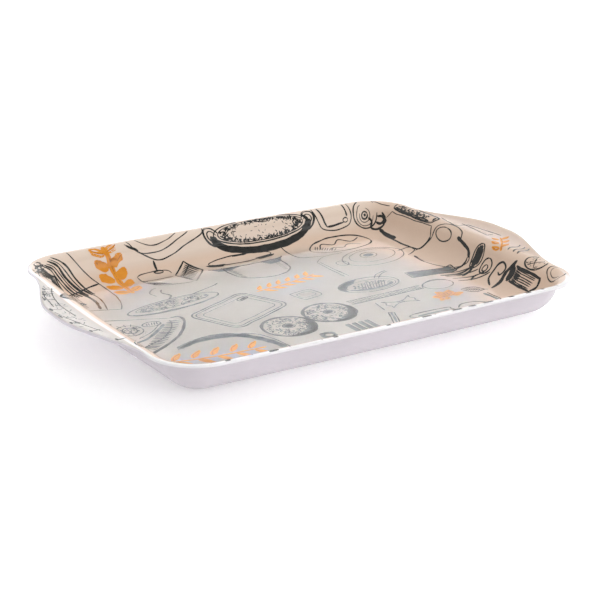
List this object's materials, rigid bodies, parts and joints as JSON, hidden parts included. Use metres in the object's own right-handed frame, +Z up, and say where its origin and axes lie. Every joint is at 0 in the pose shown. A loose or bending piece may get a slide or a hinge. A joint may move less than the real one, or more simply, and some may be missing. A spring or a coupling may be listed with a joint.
{
  "type": "serving tray",
  "caption": "Shallow rectangular moulded serving tray with rounded corners, sloping walls, a printed upper face and curved lifting handles at both ends.",
  "frame": {"origin": "on the table, under the centre of the tray", "axes": "+X along the length, from handle to handle; +Y across the tray; +Z up"},
  "size_m": [0.4552, 0.3132, 0.0361],
  "materials": {
    "white_melamine": "glossy moulded melamine",
    "printed_decor": "beige printed decor sheet under gloss",
    "clear_glaze": "clear polished glaze"
  },
  "bodies": {
    "root": {"tray_body": "white_melamine", "printed_foil": "printed_decor", "clear_glaze": "clear_glaze"}
  },
  "joints": []
}
